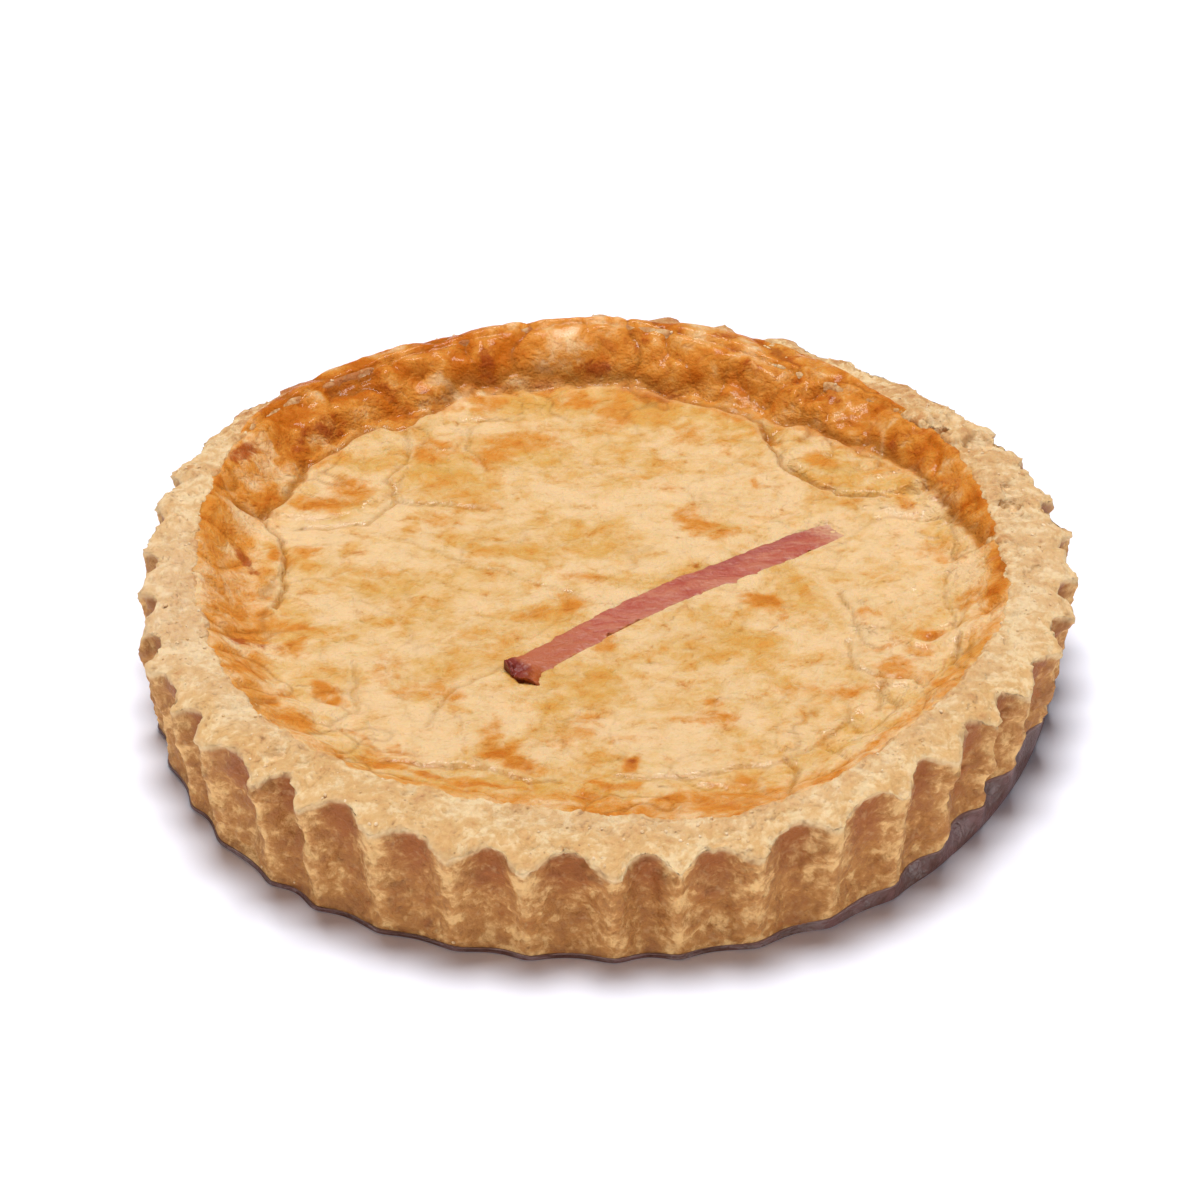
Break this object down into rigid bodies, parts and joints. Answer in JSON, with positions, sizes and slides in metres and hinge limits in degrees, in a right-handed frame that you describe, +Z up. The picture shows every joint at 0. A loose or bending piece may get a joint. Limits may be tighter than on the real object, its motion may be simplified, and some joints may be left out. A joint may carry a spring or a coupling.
{
  "type": "ham and cheese pie",
  "caption": "Round open pie of fluted shortcrust pastry with a baked cheese filling, a strip of ham set flush in its top and a thin liner round its foot.",
  "frame": {"origin": "middle of the outline at the liner's underside, on the table", "axes": "+Z up, -Y towards the side that faces the camera in the picture, +X to the picture's right"},
  "size_m": [0.2344, 0.2392, 0.0371],
  "materials": {
    "shortcrust": "matt, crumbly",
    "baked_cheese": "satin, slightly greasy",
    "ham": "satin, moist",
    "greaseproof": "satin, thin and slightly see-through"
  },
  "bodies": {
    "root": {"pastry_crust": "shortcrust", "cheese_filling": "baked_cheese", "ham_strip": "ham", "base_liner": "greaseproof"}
  },
  "joints": []
}
